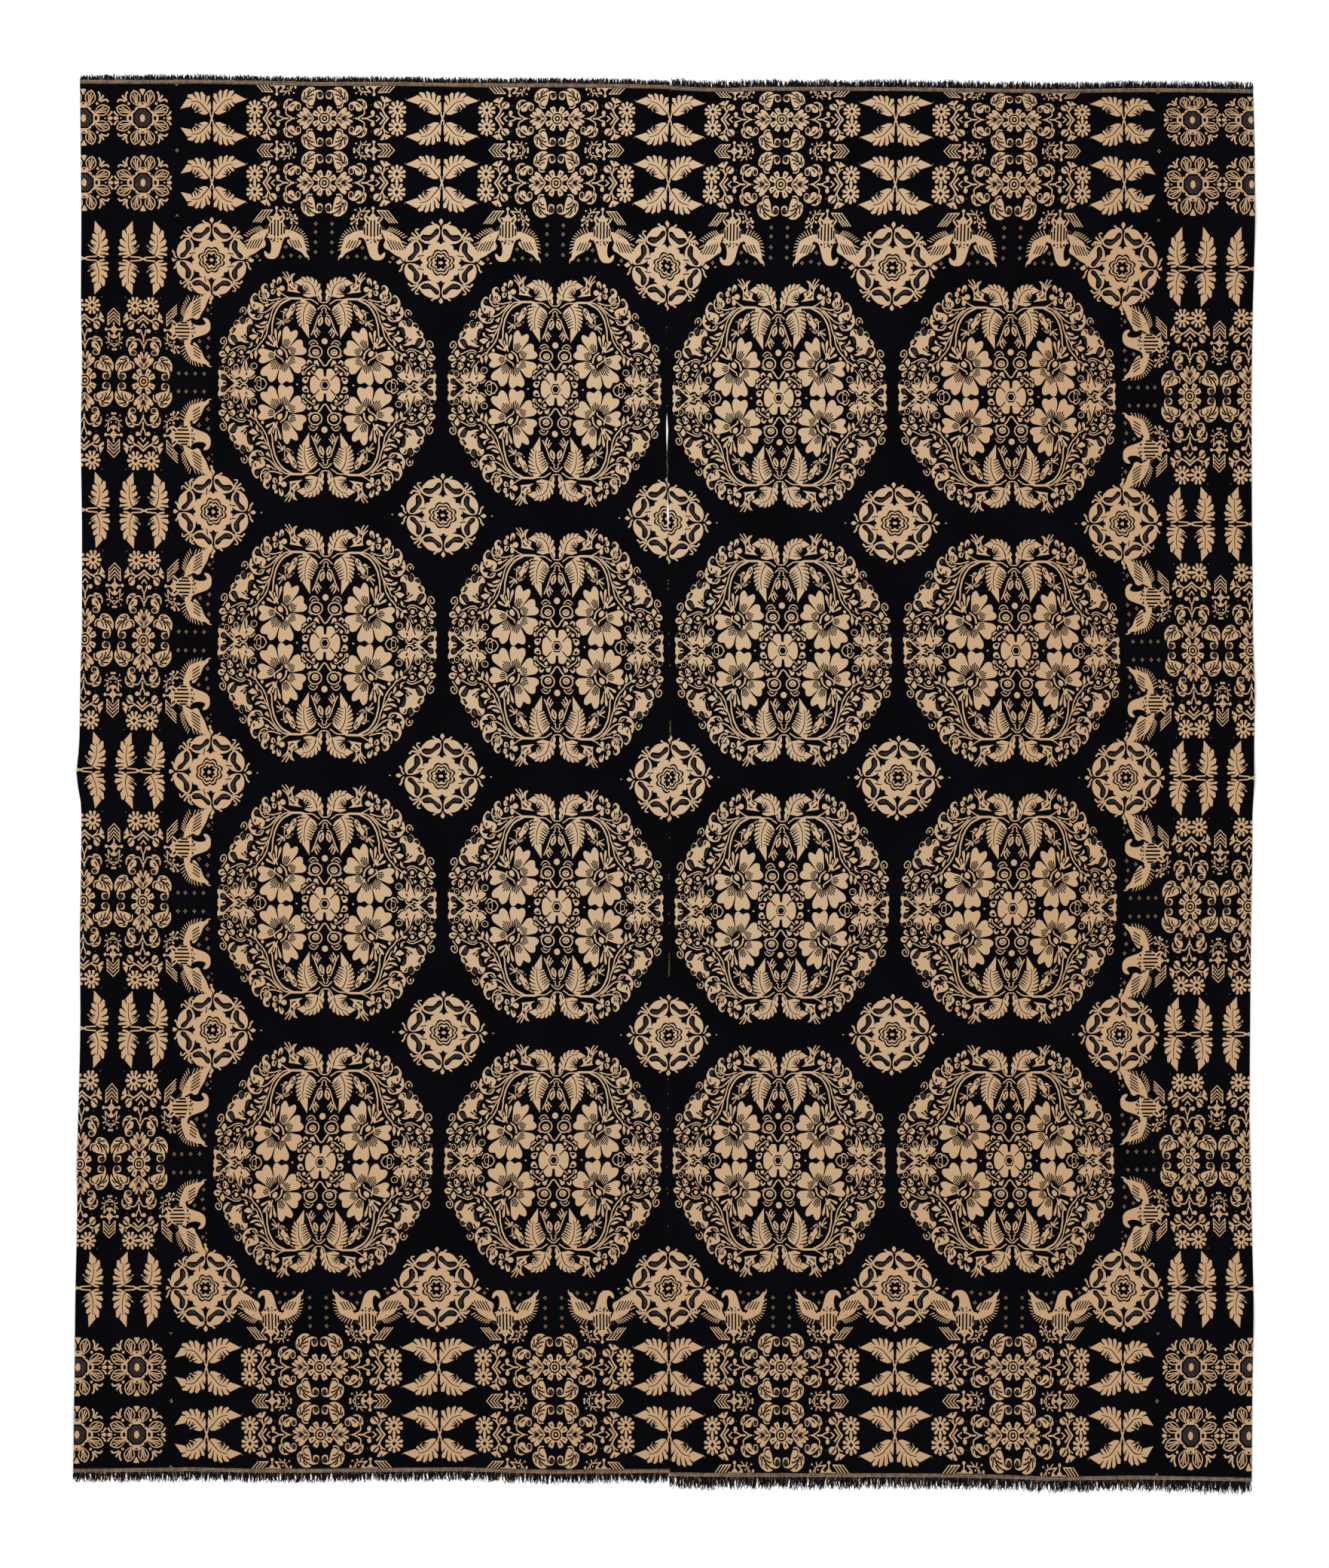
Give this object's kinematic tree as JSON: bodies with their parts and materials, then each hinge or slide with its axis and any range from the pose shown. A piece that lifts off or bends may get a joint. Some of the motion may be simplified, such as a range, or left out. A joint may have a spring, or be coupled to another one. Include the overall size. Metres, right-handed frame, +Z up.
{
  "type": "jacquard coverlet",
  "caption": "Double-woven bed coverlet of two loom widths joined by a middle seam, lying flat, with flower medallions, bird borders and a short fringe at each end.",
  "frame": {"origin": "centre of the underside, on the surface it lies on", "axes": "+X across the two loom widths, +Y along them towards the end with the shorter fringe, +Z up"},
  "size_m": [1.9448, 2.3456, 0.0062],
  "materials": {
    "cloth": "matt figured double weave in navy and cream wool and cotton",
    "fringe": "matt loose warp ends in navy and cream"
  },
  "bodies": {
    "root": {"panel_left": "cloth", "panel_right": "cloth", "fringe_top_left": "fringe", "fringe_top_right": "fringe", "fringe_bottom_left": "fringe", "fringe_bottom_right": "fringe"}
  },
  "joints": []
}
